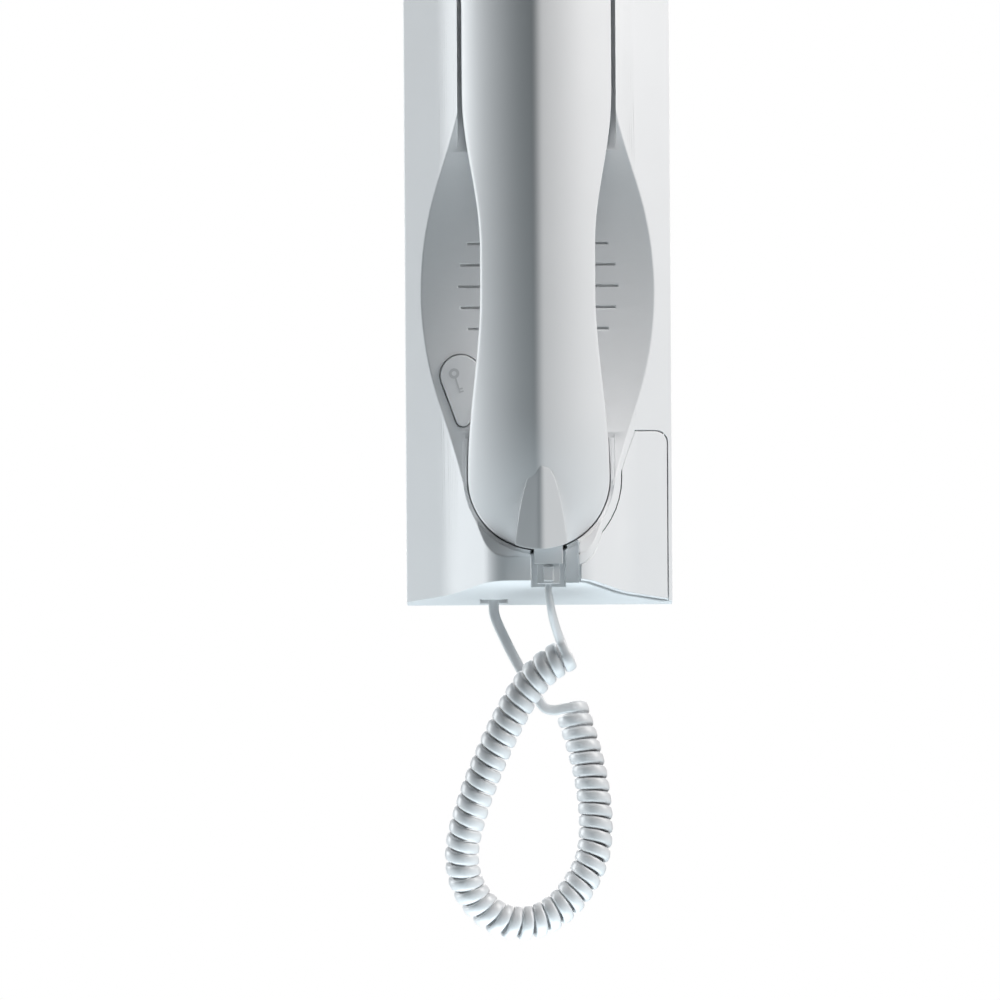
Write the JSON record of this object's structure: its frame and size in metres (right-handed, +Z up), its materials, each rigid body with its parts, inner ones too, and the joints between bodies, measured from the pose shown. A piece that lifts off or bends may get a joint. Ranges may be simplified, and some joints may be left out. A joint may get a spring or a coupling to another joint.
{
  "type": "wall intercom handset station",
  "caption": "White wall intercom with a lift-off handset in a scooped cradle, door-release button, ringer slots, clip-on terminal cover and a curly cord.",
  "frame": {"origin": "centre of the flat wall face of the base", "axes": "+X to the right seen from the front, +Y into the wall, +Z up"},
  "size_m": [0.09, 0.056, 0.3329],
  "materials": {
    "white_abs": "satin moulded ABS",
    "handset_abs": "semi-gloss moulded ABS",
    "button_abs": "satin moulded ABS",
    "grey_abs": "matt moulded ABS",
    "plug_plastic": "clear-white moulded plug",
    "cord_jacket": "soft vinyl jacket",
    "black_plastic": "moulded",
    "black_rubber": "foam and rubber",
    "board": "solder mask",
    "terminal_green": "moulded",
    "dark_metal": "lacquered",
    "steel": "zinc plated"
  },
  "bodies": {
    "base": {"back_plate": "grey_abs", "front_housing": "white_abs", "terminal_cover": "white_abs", "door_switch": "black_plastic", "main_board": "board", "board_components": "black_plastic", "board_screws": "steel", "terminal_block": "terminal_green", "terminal_screws": "steel", "housing_screw": "steel", "ringer_speaker": "dark_metal", "ringer_gasket": "black_rubber", "hook_pin": "steel", "hook_spring": "steel", "hook_switch": "black_plastic", "base_jack": "black_plastic", "base_plug": "plug_plastic", "cord_handset_tail": "cord_jacket", "cord_coil": "cord_jacket", "cord_base_tail": "cord_jacket"},
    "handset": {"handset_front": "handset_abs", "handset_rear": "handset_abs", "ear_capsule": "dark_metal", "ear_gasket": "black_rubber", "mic_capsule": "steel", "mic_boot": "black_rubber", "handset_jack": "grey_abs", "handset_plug": "plug_plastic", "handset_screws": "steel"},
    "hook": {"hook_lever": "grey_abs"},
    "door_button": {"door_button": "button_abs"}
  },
  "joints": [
    {"name": "handset_lift", "type": "slide", "parent": "base", "child": "handset", "axis": [0, -0.8192, 0.5736], "range_m": [0, 0.1], "deforming": ["cord_handset_tail", "cord_coil", "cord_base_tail"]},
    {"name": "hook_swing", "type": "hinge", "parent": "base", "child": "hook", "pos_m": [0, -0.011, -0.074], "axis": [1, 0, 0], "range_deg": [0, 10.5]},
    {"name": "door_button_press", "type": "slide", "parent": "base", "child": "door_button", "axis": [0, 1, 0], "range_m": [0, 0.0012], "stiffness_N_per_m": 400}
  ],
  "couplings": [
    {"joint": "hook_swing", "follows": "handset_lift", "rad_per_m": 1.745}
  ]
}
